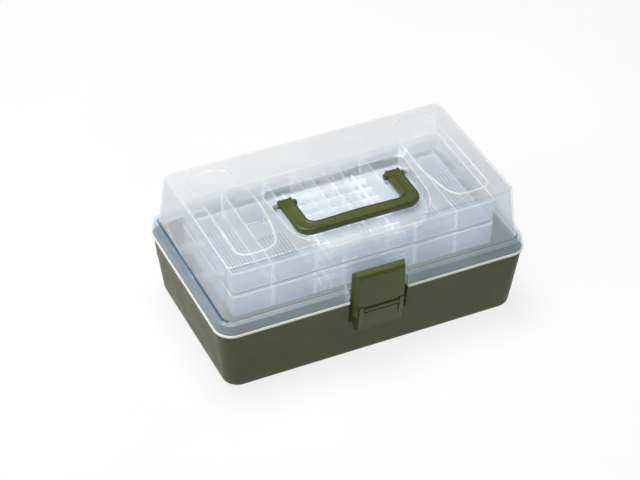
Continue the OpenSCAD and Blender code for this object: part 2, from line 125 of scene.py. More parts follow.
class Solid:
    """Closed shells gathered into one mesh. tag picks the material of each shell's faces."""

    def __init__(self):
        self.points, self.faces, self.tags = [], [], []

    def add(self, points, faces, tag=0, flip=False):
        base = len(self.points)
        self.points += [tuple(p) for p in points]
        for f in faces:
            f = tuple(base + i for i in f)
            self.faces.append(f[::-1] if flip else f)
            self.tags.append(tag)

    def loft(self, rings, tag=0, flip=False):
        """Skin over rings of equal length, closed by a cap at each end."""
        n = len(rings[0])
        faces = [tuple(reversed(range(n)))]
        for k in range(len(rings) - 1):
            for i in range(n):
                j = (i + 1) % n
                faces.append((k * n + i, k * n + j, (k + 1) * n + j, (k + 1) * n + i))
        faces.append(tuple(range((len(rings) - 1) * n, len(rings) * n)))
        self.add([p for r in rings for p in r], faces, tag, flip)

    def prism_x(self, outline, x0, x1):
        """Outline in Y and Z, drawn out along X."""
        self.loft([[(x, y, z) for y, z in outline] for x in (x0, x1)])

    def lathe_x(self, profile, y, z, side=1, steps=28):
        """Turned shape about an axis along X. profile holds (x, radius) pairs."""
        turn = [2 * math.pi * i / steps for i in range(steps)]
        rings = [[(side * x, y + r * math.cos(a), z + r * math.sin(a)) for a in turn]
                 for x, r in profile]
        self.loft(rings, flip=side < 0)

    def slab(self, low, high, taper=0.0, tag=0):
        """Plate from corner to corner, its top edges drawn in by taper and softened."""
        soft = min(0.3, (high[0] - low[0]) / 4, (high[1] - low[1]) / 4)
        rings = []
        for z, inset in ((low[2], 0.0), (high[2] - soft, taper), (high[2], taper + soft)):
            x0, x1, y0, y1 = low[0] + inset, high[0] - inset, low[1] + inset, high[1] - inset
            rings.append([(x0, y0, z), (x1, y0, z), (x1, y1, z), (x0, y1, z)])
        self.loft(rings, tag)

    def tube(self, path, width, height, steps=10, closed=False):
        """Bead of oval section along a level path, width and height measured from its middle."""
        n = len(path)
        turn = [2 * math.pi * k / steps for k in range(steps)]
        rings = []
        for i, p in enumerate(path):
            a = path[(i - 1) % n] if closed or i else path[0]
            b = path[(i + 1) % n] if closed or i < n - 1 else path[-1]
            along = (Vector(b) - Vector(a)).normalized()
            across = along.cross(Vector((0, 0, 1))).normalized()
            up = across.cross(along)
            rings.append([Vector(p) + across * width * math.cos(t) + up * height * math.sin(t)
                          for t in turn])
        if not closed:
            self.loft([r[::-1] for r in rings])
            return
        faces = []
        for k in range(n):
            m = (k + 1) % n
            for i in range(steps):
                j = (i + 1) % steps
                faces.append((k * steps + j, k * steps + i, m * steps + i, m * steps + j))
        self.add([q for r in rings for q in r], faces)

    def build(self, name, materials, smooth=SMOOTH):
        mesh = bpy.data.meshes.new(name)
        mesh.from_pydata([Vector(p) / 1000 for p in self.points], [], self.faces)
        for m in materials:
            mesh.materials.append(m)
        mesh.polygons.foreach_set("material_index", self.tags)
        finish_mesh(mesh, smooth)
        return new_object(name, mesh)


def new_object(name, data):
    thing = bpy.data.objects.new(name, data)
    bpy.context.scene.collection.objects.link(thing)
    return thing


def finish_mesh(mesh, smooth=SMOOTH):
    """Consistent normals, and smooth shading where faces meet at less than smooth degrees."""
    bm = bmesh.new()
    bm.from_mesh(mesh)
    bmesh.ops.recalc_face_normals(bm, faces=bm.faces)
    bm.to_mesh(mesh)
    bm.free()
    mesh.polygons.foreach_set("use_smooth", [True] * len(mesh.polygons))
    mesh.set_sharp_from_angle(angle=math.radians(smooth))


def arc(cx, cy, r, a0, a1, steps):
    """Points of an arc, both ends included."""
    angles = [math.radians(a0 + (a1 - a0) * i / steps) for i in range(steps + 1)]
    return [(cx + r * math.cos(a), cy + r * math.sin(a)) for a in angles]


def curve(a, b, c, steps=7):
    """Points of a curve from a to c that leaves and arrives along the lines to b."""
    points = []
    for i in range(steps + 1):
        t = i / steps
        points.append(tuple((1 - t) ** 2 * p + 2 * t * (1 - t) * q + t * t * r
                            for p, q, r in zip(a, b, c)))
    return points


def rounded(length, width, r, cy=0.0, steps=9):
    """Rectangle with round corners, counter-clockwise from the front right corner."""
    hx, hy = length / 2 - r, width / 2 - r
    points = []
    for sx, sy, a in ((1, -1, -90), (1, 1, 0), (-1, 1, 90), (-1, -1, 180)):
        points += arc(sx * hx, cy + sy * hy, r, a, a + 90, steps)
    return points


def shell_ring(size, r, z, notch_x, notch_y=None):
    """Ring of a shell at height z. Its front steps back to notch_y between -notch_x and notch_x."""
    front = -size[1] / 2
    if notch_y is None or notch_y <= front + 0.05:
        notch = [(s * notch_x + d, front) for s in (-1, 1) for d in (-0.4, 0.4)]
    else:
        notch = [(-notch_x, front), (-notch_x, notch_y), (notch_x, notch_y), (notch_x, front)]
    return [(x, y, z) for x, y in rounded(size[0], size[1], r) + notch]


def grown(size, g):
    return (size[0] + 2 * g, size[1] + 2 * g)


def between(a, b, t):
    return tuple(p + (q - p) * t for p, q in zip(a, b))


def both_sides(half):
    """Path in X and Y: its right half, and then the mirrored one."""
    return half + [(-x, y) for x, y in reversed(half)]


def cut(target, cutter):
    """Cuts cutter's shape out of target's mesh, and removes cutter."""
    step = target.modifiers.new("cut", "BOOLEAN")
    step.operation = "DIFFERENCE"
    step.solver = "EXACT"
    step.object = cutter
    evaluated = target.evaluated_get(bpy.context.evaluated_depsgraph_get())
    mesh = bpy.data.meshes.new_from_object(evaluated)
    target.modifiers.clear()
    target.data = mesh
    bpy.data.objects.remove(cutter)


def soften(piece, width, angle=35, segments=3):
    """Rounds the sharp edges of a piece."""
    step = piece.modifiers.new("soft_edges", "BEVEL")
    step.width = width / 1000
    step.segments = segments
    step.limit_method = "ANGLE"
    step.angle_limit = math.radians(angle)
    step.use_clamp_overlap = True


def from_cad(node, name, material, width):
    """Piece that starts from a CAD node's faces and rounds their edges."""
    mesh = frame["nodes"][node].data.copy()
    mesh.name = name
    bm = bmesh.new()
    bm.from_mesh(mesh)
    bmesh.ops.remove_doubles(bm, verts=bm.verts, dist=2e-6)
    bmesh.ops.dissolve_limit(bm, angle_limit=math.radians(1.5), verts=bm.verts, edges=bm.edges)
    bm.to_mesh(mesh)
    bm.free()
    mesh.materials.clear()
    mesh.materials.append(material)
    finish_mesh(mesh)
    piece = new_object(name, mesh)
    soften(piece, width)
    return piece


def place(piece, body, slot, *nodes):
    """Rides a piece on its CAD body in the place of the named nodes."""
    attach(piece, body)
    if nodes:
        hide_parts(*nodes)


# ---------------------------------------------------------------- materials

NOISE_LOW, NOISE_HIGH = 0.3, 0.7          # most noise values lie between these
PAINTED_GLOW_BLUE = (0.50, 0.72, 1.0, 1)       # colour of a painted glow: light emitted in place of light scattered inside milky plastic
CLOUD_FRONT, CLOUD_BACK = -0.035, 0.060   # Y in metres where rear_cover starts and is complete


def new_material(name):
    material = bpy.data.materials.new(name)
    material.use_nodes = True
    tree = material.node_tree
    return material, tree, tree.nodes["Principled BSDF"]


def noise(tree, scale, detail=3.0, roughness=0.5):
    coords = tree.nodes.new("ShaderNodeTexCoord")
    texture = tree.nodes.new("ShaderNodeTexNoise")
    texture.inputs["Scale"].default_value = scale
    texture.inputs["Detail"].default_value = detail
    texture.inputs["Roughness"].default_value = roughness
    tree.links.new(coords.outputs["Object"], texture.inputs["Vector"])
    return texture.outputs["Fac"]


def remap(tree, value, start, end, low, high):
    """Node that maps start to end onto low to high, and stops at both ends."""
    node = tree.nodes.new("ShaderNodeMapRange")
    node.inputs["From Min"].default_value = start
    node.inputs["From Max"].default_value = end
    node.inputs["To Min"].default_value = low
    node.inputs["To Max"].default_value = high
    tree.links.new(value, node.inputs["Value"])
    return node


def spread(tree, value, low, high):
    """Maps a noise value onto low to high."""
    return remap(tree, value, NOISE_LOW, NOISE_HIGH, low, high).outputs["Result"]


def blend_colours(tree, value, dark, light):
    """Maps a noise value onto the colours dark to light."""
    ramp = tree.nodes.new("ShaderNodeValToRGB")
    ends = ramp.color_ramp.elements
    ends[0].position, ends[1].position = NOISE_LOW, NOISE_HIGH
    ends[0].color, ends[1].color = (*dark, 1), (*light, 1)
    tree.links.new(value, ramp.inputs["Fac"])
    return ramp.outputs["Color"]


def add_grain(tree, shader, scale, height):
    """Bumps of a given height in millimetres."""
    bump = tree.nodes.new("ShaderNodeBump")
    bump.inputs["Strength"].default_value = 1.0
    bump.inputs["Distance"].default_value = height / 1000
    tree.links.new(noise(tree, scale, 2.0, 0.6), bump.inputs["Height"])
    tree.links.new(bump.outputs["Normal"], shader.inputs["Normal"])
    return bump.outputs["Normal"]


def mixed(tree, first, second):
    """Node that mixes two shaders. Its Fac is the share of the second."""
    node = tree.nodes.new("ShaderNodeMixShader")
    tree.links.new(first, node.inputs[1])
    tree.links.new(second, node.inputs[2])
    return node


def moulded(name, dark, light, roughness, grain_scale, grain_height, specular=0.5):
    """Opaque moulded plastic: faint cloudiness in its colour, patchy polish and a fine grain."""
    material, tree, shader = new_material(name)
    tree.links.new(blend_colours(tree, noise(tree, 22.0, 4.0), dark, light),
                   shader.inputs["Base Color"])
    tree.links.new(spread(tree, noise(tree, 60.0), roughness - 0.05, roughness + 0.06),
                   shader.inputs["Roughness"])
    shader.inputs["Specular IOR Level"].default_value = specular
    add_grain(tree, shader, grain_scale, grain_height)
    return material


def milky(name, dark, light, cover, roughness, veil=(1.0, 1.0, 1.0), far=0.0, glow=0.0,
          rear_cover=None):
    """Translucent plastic: a share of cloudy colour, the rest seen through, and a gloss over both.

    The share is cover on the face of a wall that is seen first and far on the wall's other face.
    veil tints what is seen through, and glow is the strength of a painted glow, a faint blue
    light emitted in place of light scattered inside the plastic. With rear_cover, the share
    changes from cover to rear_cover towards the box's back.
    """
    material, tree, shader = new_material(name)
    colour = blend_colours(tree, noise(tree, 18.0), dark, light)
    tree.links.new(colour, shader.inputs["Base Color"])
    tree.links.new(spread(tree, noise(tree, 45.0), roughness - 0.04, roughness + 0.05),
                   shader.inputs["Roughness"])
    shader.inputs["Specular IOR Level"].default_value = 0.0
    # Painted glow: the plastic emits a faint blue light of its own in place of light scattered
    # inside it.
    shader.inputs["Emission Color"].default_value = PAINTED_GLOW_BLUE
    shader.inputs["Emission Strength"].default_value = glow
    bump = add_grain(tree, shader, 240.0, 0.012)

    behind = tree.nodes.new("ShaderNodeBsdfTranslucent")
    tree.links.new(colour, behind.inputs["Color"])
    cloud = mixed(tree, shader.outputs["BSDF"], behind.outputs["BSDF"])
    cloud.inputs["Fac"].default_value = 0.2

    other_face = tree.nodes.new("ShaderNodeNewGeometry").outputs["Backfacing"]
    share = remap(tree, other_face, 0.0, 1.0, cover, far)
    if rear_cover is not None:
        coords = tree.nodes.new("ShaderNodeTexCoord")
        depth = tree.nodes.new("ShaderNodeSeparateXYZ")
        tree.links.new(coords.outputs["Object"], depth.inputs["Vector"])
        cloudier = remap(tree, depth.outputs["Y"], CLOUD_FRONT, CLOUD_BACK, cover, rear_cover)
        tree.links.new(cloudier.outputs["Result"], share.inputs["To Min"])
    clear = tree.nodes.new("ShaderNodeBsdfTransparent")
    clear.inputs["Color"].default_value = (*veil, 1)
    body = mixed(tree, clear.outputs["BSDF"], cloud.outputs["Shader"])
    tree.links.new(share.outputs["Result"], body.inputs["Fac"])

    gloss = tree.nodes.new("ShaderNodeBsdfAnisotropic")
    gloss.inputs["Color"].default_value = (1, 1, 1, 1)
    gloss.inputs["Roughness"].default_value = roughness
    tree.links.new(bump, gloss.inputs["Normal"])
    fresnel = tree.nodes.new("ShaderNodeFresnel")
    fresnel.inputs["IOR"].default_value = 1.4
    first_face = remap(tree, other_face, 0.0, 1.0, 1.0, 0.0)
    shine = tree.nodes.new("ShaderNodeMath")
    shine.operation = "MULTIPLY"
    tree.links.new(fresnel.outputs["Fac"], shine.inputs[0])
    tree.links.new(first_face.outputs["Result"], shine.inputs[1])
    surface = mixed(tree, body.outputs["Shader"], gloss.outputs["BSDF"])
    tree.links.new(shine.outputs["Value"], surface.inputs["Fac"])
    tree.links.new(surface.outputs["Shader"], tree.nodes["Material Output"].inputs["Surface"])
    return material


def steel():
    material, tree, shader = new_material("drawn_steel")
    tree.links.new(blend_colours(tree, noise(tree, 260.0), (0.50, 0.50, 0.51), (0.62, 0.62, 0.63)),
                   shader.inputs["Base Color"])
    shader.inputs["Metallic"].default_value = 1.0
    tree.links.new(spread(tree, noise(tree, 400.0), 0.26, 0.4), shader.inputs["Roughness"])
    add_grain(tree, shader, 1800.0, 0.004)
    return material


OLIVE_TUB = moulded("olive_tub", (0.050, 0.056, 0.017), (0.060, 0.067, 0.022), 0.46,
                    1500.0, 0.03, 0.32)
OLIVE_TRIM = moulded("olive_trim", (0.052, 0.064, 0.013), (0.063, 0.077, 0.018), 0.36,
                     700.0, 0.012, 0.4)
RIVET = moulded("rivet_plastic", (0.20, 0.26, 0.33), (0.26, 0.32, 0.39), 0.34, 500.0, 0.01)
STEEL = steel()

GREY_VEIL = (0.967, 0.965, 0.960)
LID_CLEAR = milky("lid_clear", (0.665, 0.66, 0.655), (0.71, 0.705, 0.70), 0.30, 0.16,
                  veil=GREY_VEIL, far=0.03, glow=0.04, rear_cover=0.60)
# The recess floor: a copy of the clear plastic painted lighter, with a painted glow.
LID_RECESS_LIT = milky("lid_recess_lit", (0.78, 0.77, 0.76), (0.84, 0.83, 0.82), 0.30, 0.16,
                   veil=GREY_VEIL, far=0.03, glow=0.20, rear_cover=0.42)
# Front and back walls: a copy of the clear plastic painted lighter, with a stronger painted glow,
# as painted light on walls that face away from the lamps.
LID_SIDE_LIT = milky("lid_side_lit", (0.72, 0.75, 0.80), (0.78, 0.80, 0.85), 0.36, 0.16,
                 veil=(0.975, 0.968, 0.955), far=0.03, glow=0.30)
# The ends: a copy of the clear plastic painted darker and cloudier as painted shade, with a faint
# painted glow.
LID_END_SHADED = milky("lid_end_shaded", (0.53, 0.56, 0.60), (0.59, 0.62, 0.65), 0.54, 0.16,
                veil=GREY_VEIL, far=0.03, glow=0.13)
# The skirt: a copy painted a darker blue, painted shade of the tub's inside behind it, with a faint
# painted glow.
LID_SKIRT_SHADE = milky("lid_skirt_shade", (0.36, 0.45, 0.54), (0.44, 0.53, 0.61), 0.44, 0.16, glow=0.10)
# The lip: frosted plastic, painted paler still for the highlight along its edge.
LID_LIP_LIT = milky("lid_lip_lit", (0.74, 0.74, 0.68), (0.82, 0.82, 0.76), 0.9, 0.2)
# Beads: pale material that paints the highlight lines along the lid's raised outlines and the
# recess's rim.
LID_BEAD_HIGHLIGHT = milky("lid_bead_highlight", (0.80, 0.80, 0.79), (0.86, 0.86, 0.85), 0.50, 0.16, rear_cover=0.08)
# A band of the ledge at each end: a dark blue copy of the clear plastic, painted shade in the step.
LID_LEDGE_SHADE = milky("lid_ledge_shade", (0.06, 0.12, 0.20), (0.10, 0.17, 0.26), 0.72, 0.16)
TRAY_MILKY = milky("tray_milky", (0.54, 0.58, 0.61), (0.60, 0.64, 0.67), 0.34, 0.28,
                   far=0.18, glow=0.13)
# Rim and divider edges: a paler, more opaque copy of the tray plastic, painted brighter for the
# light caught along edges.
TRAY_LIT_EDGE = milky("tray_lit_edge", (0.84, 0.86, 0.88), (0.90, 0.91, 0.93), 0.55, 0.25)
# Roots of partitions and the grid ridges: a pale copy with a strong painted glow, standing in for
# light carried along the plastic.
TRAY_ROOT_GLOW = milky("tray_root_glow", (0.86, 0.89, 0.92), (0.92, 0.94, 0.96), 0.75, 0.25, glow=0.34)
# Ridges and comb slots: a darker blue copy of the tray plastic, painted shade for the dark lines
# along them.
TRAY_RIDGE_SHADE = milky("tray_ridge_shade", (0.16, 0.27, 0.42), (0.21, 0.33, 0.48), 0.60, 0.25)
# Foot: a dark blue copy of the tray plastic, a painted shadow line where the trays stack.
TRAY_FOOT_SHADOW = milky("tray_foot_shadow", (0.08, 0.16, 0.25), (0.12, 0.21, 0.31), 0.90, 0.25)

LID_MATERIALS = [LID_CLEAR, LID_LIP_LIT, LID_SIDE_LIT, LID_SKIRT_SHADE, LID_END_SHADED, LID_RECESS_LIT, LID_LEDGE_SHADE]
TRAY_MATERIALS = [TRAY_MILKY, TRAY_LIT_EDGE, TRAY_ROOT_GLOW, TRAY_FOOT_SHADOW, TRAY_RIDGE_SHADE]
WALL_TAG, LIT_EDGE_TAG, ROOT_GLOW_TAG, FOOT_SHADOW_TAG, RIDGE_SHADE_TAG = range(len(TRAY_MATERIALS))


# ---------------------------------------------------------------- tub

def tub_size(z):
    return between(TUB_BOTTOM, TUB_TOP, z / BEAD_Z)


def pocket_back(z, inset):
    """Back of the hollow behind the latch at a height, or None below it."""
    full, start = POCKET_Y + inset, POCKET_LOW - inset
    if z <= start:
        return None
    if z >= POCKET_FULL - inset:
        return full
    surface = -tub_size(start)[1] / 2 + inset
    return surface + (full - surface) * (z - start) / (POCKET_FULL - POCKET_LOW)


def tub():
    rings = []
    for z, g, r in ((FOOT_LIFT, -FOOT_R - 13, 6), (FOOT_LIFT, -FOOT_R - 5, 9),
                    (0.0, -FOOT_R - 3.5, 9.5)):
        rings.append(shell_ring(grown(TUB_BOTTOM, g), r, z, POCKET_X))
    for i in range(8):
        a = math.radians(90 * i / 7)
        z = FOOT_R * (1 - math.cos(a))
        inset = FOOT_R * (1 - math.sin(a))
        rings.append(shell_ring(grown(tub_size(z), -inset), TUB_CORNER - inset * 0.6, z, POCKET_X))
    for z in (25.0, POCKET_LOW, POCKET_LOW + 0.6, POCKET_FULL, 60.0, 68.5):
        rings.append(shell_ring(tub_size(z), TUB_CORNER, z, POCKET_X, pocket_back(z, 0)))
    for z, g in ((68.8, -1.0), (69.0, -0.45), (69.35, -0.12), (69.8, 0), (71.0, 0),
                 (71.35, -0.15), (RIM_Z, -0.5)):
        rings.append(shell_ring(grown(BEAD, g), TUB_CORNER + 1, z, POCKET_X, POCKET_Y))
    inner_x, inner_r = POCKET_X + TUB_WALL, TUB_CORNER - TUB_WALL
    for z in (RIM_Z, 71.0, POCKET_FULL, POCKET_LOW, 43.6, 25.0):
        rings.append(shell_ring(grown(tub_size(min(z, BEAD_Z)), -TUB_WALL), inner_r, z, inner_x,
                                pocket_back(z, TUB_WALL)))
    for i in range(6):
        a = math.radians(90 * i / 5)
        z = TUB_WALL + FLOOR_FILLET * (1 - math.sin(a))
        inset = FLOOR_FILLET * (1 - math.cos(a))
        rings.append(shell_ring(grown(tub_size(z), -TUB_WALL - inset), inner_r - inset, z, inner_x))
    solid = Solid()
    solid.loft(rings)
    collar(solid)
    boss = [(146.0, 5.2), (146.4, 5.8), (147.0, 6.0), (155.5, 6.2), (159.0, 8.5)]
    for side in (-1, 1):
        for y, z in (pivot("front_arm_left_pivot"), pivot("rear_arm_left_pivot")):
            solid.lathe_x(boss, y, z, side)
    knuckles(solid)
    place(solid.build("tub", [OLIVE_TUB]), "base", "olive_tub", "base_tub")


def collar(solid):
    """Upright collar inside the lid's skirt, open behind the latch and at the rear corners."""
    hx, hy, r = COLLAR[0] / 2, COLLAR[1] / 2, TUB_CORNER - 1
    right = [(35.5, -hy), (90, -hy)] + arc(hx - r, -hy + r, r, -90, 0, 10) + [(hx, 0), (hx, 65)]
    collar_wall(solid, right)
    collar_wall(solid, [(-x, y) for x, y in reversed(right)])
    collar_wall(solid, [(139, hy), (0, hy), (-139, hy)])


def collar_wall(solid, points):
    """Upright wall inside a line of points, its top edges softened."""
    rings = []
    for i, (x, y) in enumerate(points):
        a = Vector(points[max(i - 1, 0)])
        b = Vector(points[min(i + 1, len(points) - 1)])
        along = (b - a).normalized()
        nx, ny = -along.y * COLLAR_T, along.x * COLLAR_T
        section = ((0, COLLAR_FOOT_Z), (0, COLLAR_Z - 0.6), (0.2, COLLAR_Z), (0.8, COLLAR_Z),
                   (1, COLLAR_Z - 0.6), (1, COLLAR_FOOT_Z))
        rings.append([(x + nx * share, y + ny * share, z) for share, z in section])
    solid.loft([r[::-1] for r in rings])


def knuckles(solid):
    """The tub's hinge knuckles, one on each side of each of the lid's."""
    middle, reach, width = 82.0, 8.9, 7.9
    outline = [(92.6, 60.0)] + arc(HINGE_Y, HINGE_Z, KNUCKLE_R, -50, 178, 18) + [(92.8, 69.4)]
    for side in (-1, 1):
        for x0 in (middle + reach, middle - reach - width):
            solid.prism_x(outline, *sorted((side * x0, side * (x0 + width))))


# ---------------------------------------------------------------- lid

def lid_size(z):
    return between(LID_FOOT, LID_TOP, (z - LEDGE_Z) / (TOP_Z - LEDGE_Z))


def recess_edge(g, start, steps):
    """Edge of the handle's recess grown by g, from the angle start on its right bow."""
    bow = arc(BOW_X, BOW_Y, BOW_R + g, start, -4, steps)
    corner = arc(RECESS_CORNER_X, RECESS_BACK - RECESS_CORNER, RECESS_CORNER + g, 0, 90, 8)
    return both_sides(bow + corner)


def recess_block(levels):
    """Block the shape of the recess, open over the lid's front. levels holds (z, g) pairs."""
    solid = Solid()
    solid.loft([[(x, y, z) for x, y in recess_edge(g, -90, 22)] for z, g in levels])
    return solid.build("recess_block", [])


def lid_outer():
    rings = []
    lip_top = LIP_Z + LIP_H
    for z, g, r in ((LIP_Z, -0.8, 17.2), (LIP_Z + 0.5, 0, 18), (lip_top - 0.6, 0, 18),
                    (lip_top - 0.1, -0.5, 17.5)):
        rings.append(shell_ring(grown(LIP, g), r, z, POCKET_X, BAY_Y))
    for z, g in ((lip_top + 0.15, 0.25), (lip_top + 0.8, 0), (LEDGE_Z - 1.6, 0),
                 (LEDGE_Z - 0.8, -0.3), (LEDGE_Z - 0.3, -0.9), (LEDGE_Z, -1.8)):
        rings.append(shell_ring(grown(SKIRT, g), 17 + g, z, POCKET_X, BAY_Y))
    for z, g, r in ((LEDGE_Z, 1.7, 10), (LEDGE_Z + 0.3, 0.8, 9), (LEDGE_Z + 1.0, 0.15, 8.4)):
        rings.append(shell_ring(grown(lid_size(LEDGE_Z + 1), g), r, z, POCKET_X))
    shoulder = TOP_Z - LID_EDGE
    for z in (LEDGE_Z + 1.8, LID_MIDDLE_Z, shoulder - 4, shoulder):
        rings.append(shell_ring(lid_size(z), 8, z, POCKET_X))
    for i in range(1, 7):
        a = math.radians(15 * i)
        inset = LID_EDGE * (1 - math.cos(a))
        rings.append(shell_ring(grown(lid_size(shoulder), -inset), 8 - inset * 0.7,
                                shoulder + LID_EDGE * math.sin(a), POCKET_X))
    solid = Solid()
    solid.loft(rings)
    return solid.build("lid", [])


def lid_hollow():
    """Block the shape of the lid's inside, less the recess and its walls."""
    rings = []
    inner_x, bay_y = POCKET_X + 2.4, BAY_Y + LID_WALL
    under = LEDGE_Z - LID_WALL
    for z in (LIP_Z - 10, under - 1.0):
        rings.append(shell_ring(grown(SKIRT, -SKIRT_T), 15, z, inner_x, bay_y))
    rings.append(shell_ring(grown(SKIRT, -SKIRT_T - 0.9), 14, under, inner_x, bay_y))
    rings.append(shell_ring(grown(lid_size(LEDGE_Z), -LID_WALL + 0.6), 7.4, under, inner_x))
    shoulder = TOP_Z - LID_WALL - HOLLOW_EDGE
    for z in (LEDGE_Z, LID_MIDDLE_Z, shoulder):
        rings.append(shell_ring(grown(lid_size(z), -LID_WALL), 6.6, z, inner_x))
    for i in range(1, 5):
        a = math.radians(22.5 * i)
        inset = HOLLOW_EDGE * (1 - math.cos(a))
        rings.append(shell_ring(grown(lid_size(shoulder), -LID_WALL - inset), 6.6 - inset * 0.6,
                                shoulder + HOLLOW_EDGE * math.sin(a), inner_x))
    solid = Solid()
    solid.loft(rings)
    hollow = solid.build("lid_hollow", [])
    floor = RECESS_Z - LID_WALL
    cut(hollow, recess_block([(floor, LID_WALL - 1.5), (floor + 1.2, LID_WALL),
                              (TOP_Z + 9, LID_WALL)]))
    return hollow


def lid_material(high, normal, x):
    """Material of a lid face, by its highest point, its normal and its middle's x."""
    # The choices are copies of one clear plastic with painted light and shade: a lit lip, a shaded
    # ledge band, a shaded skirt, lit walls, shaded ends and a lit recess floor.
    if high < LIP_Z + LIP_H + 0.2:
        return LID_LIP_LIT
    if LEDGE_Z + 0.2 < high < LEDGE_Z + 2 and abs(x) > 152:
        return LID_LEDGE_SHADE
    if high < LEDGE_Z + 0.1:
        return LID_SKIRT_SHADE
    if high < TOP_Z - 1.5 and abs(normal.z) < 0.5:
        return LID_END_SHADED if abs(normal.x) > 0.7 else LID_SIDE_LIT
    if high < RECESS_Z + 2 and normal.z > 0.9:
        return LID_RECESS_LIT
    return LID_CLEAR


def lid():
    piece = lid_outer()
    cut(piece, recess_block([(RECESS_Z, -1.5), (RECESS_Z + 0.4, -0.5), (RECESS_Z + 1.5, 0),
                             (TOP_Z - 1.2, 0), (TOP_Z - 0.4, 0.3), (TOP_Z, 1.0),
                             (TOP_Z + 6, 1.0)]))
    cut(piece, lid_hollow())
    mesh = piece.data
    for m in LID_MATERIALS:
        mesh.materials.append(m)
    for f in mesh.polygons:
        high = 1000 * max(mesh.vertices[v].co.z for v in f.vertices)
        f.material_index = LID_MATERIALS.index(lid_material(high, f.normal, 1000 * f.center.x))
    finish_mesh(mesh)
    piece.visible_shadow = False
    place(piece, "lid", "clear_lid", "lid_shell")
    lid_outlines()
    lid_ribs()


def tongue_path(side):
    """Closed outline at each end of the lid's top: straight outside, bowed towards the handle."""
    end, outer, bow_x, bow_r = 67.0, 133.0, 83.0, 210.0
    inner = [(bow_x + bow_r - math.sqrt(bow_r**2 - y**2), y) for y in range(-54, 55, 6)]
    corner_x = bow_x + bow_r - math.sqrt(bow_r**2 - end**2)
    path = inner + curve(inner[-1], (corner_x, end), (corner_x + 13, end))
    path += curve((outer - 12, end), (outer, end), (outer, end - 12))
    path += curve((outer, 12 - end), (outer, -end), (outer - 12, -end))
    path += curve((corner_x + 13, -end), (corner_x, -end), inner[0])[:-1]
    return [(side * x, y, TOP_Z + 0.05) for x, y in path]


def lid_outlines():
    """Raised outlines on the lid's top, the recess's rim, and a plain moulding mark, all in a pale
    material that paints the highlight lines along them; the bead on the recess's rim is there to
    paint the highlight on that edge.
    """
    solid = Solid()
    for side in (-1, 1):
        solid.tube(tongue_path(side), 1.4, 0.75, closed=True)
    solid.tube([(x, y, TOP_Z - 0.15) for x, y in recess_edge(1.4, -38, 14)], 0.7, 0.5)
    mark = [(123.5 + x, 49 + y, TOP_Z) for x, y in arc(0, 0, 2.6, 0, 342, 19)]
    solid.tube(mark, 0.4, 0.3, steps=6, closed=True)
    piece = solid.build("lid_outlines", [LID_BEAD_HIGHLIGHT])
    piece.visible_shadow = False
    place(piece, "lid", "clear_lid")


def lid_ribs():
    """Latch bay ribs, catch, hinge knuckles, the handle's bosses and the links' lugs."""
    bay_rib = [(-94.4, LIP_Z), (-94.4, 84.0), (-93.4, 85.4), (-87.2, 90.0), (-85.9, 90.0),
               (-85.9, LIP_Z)]
    catch = [(-87.2, 84.4), (-90.9, 84.4), (-91.3, 84.0), (-91.3, 82.2), (-91.0, 81.6),
             (-87.2, 80.0)]
    knuckle = arc(HINGE_Y, HINGE_Z, KNUCKLE_R, -172, 60, 18)
    knuckle += [(94.4, 81.0), (93.2, 81.0), (93.2, LIP_Z + 0.2), (94.6, LIP_Z)]
    boss = [(67.4, 4.2), (67.8, 4.8), (68.4, 5.0), (76.0, 5.0)]
    lug = arc(LUG_Y, LUG_Z, LUG_R, 180, 360, 14) + [(LUG_Y + LUG_R, 84.0), (LUG_Y - LUG_R, 84.0)]
    solid = Solid()
    for side in (-1, 1):
        solid.prism_x(bay_rib, *sorted((side * 31.0, side * 32.6)))
    solid.prism_x(catch, -18.0, 18.0)
    for side in (-1, 1):
        solid.prism_x(knuckle, *sorted((side * 73.6, side * 90.4)))
    for side in (-1, 1):
        solid.lathe_x(boss, HANDLE_Y, HANDLE_Z, side)
    for side in (-1, 1):
        solid.prism_x(lug, *sorted((side * 150.2, side * 152.4)))
    piece = solid.build("lid_ribs", [LID_CLEAR])
    soften(piece, 0.3, 50, 2)
    place(piece, "lid", "clear_lid")


# ---------------------------------------------------------------- handle

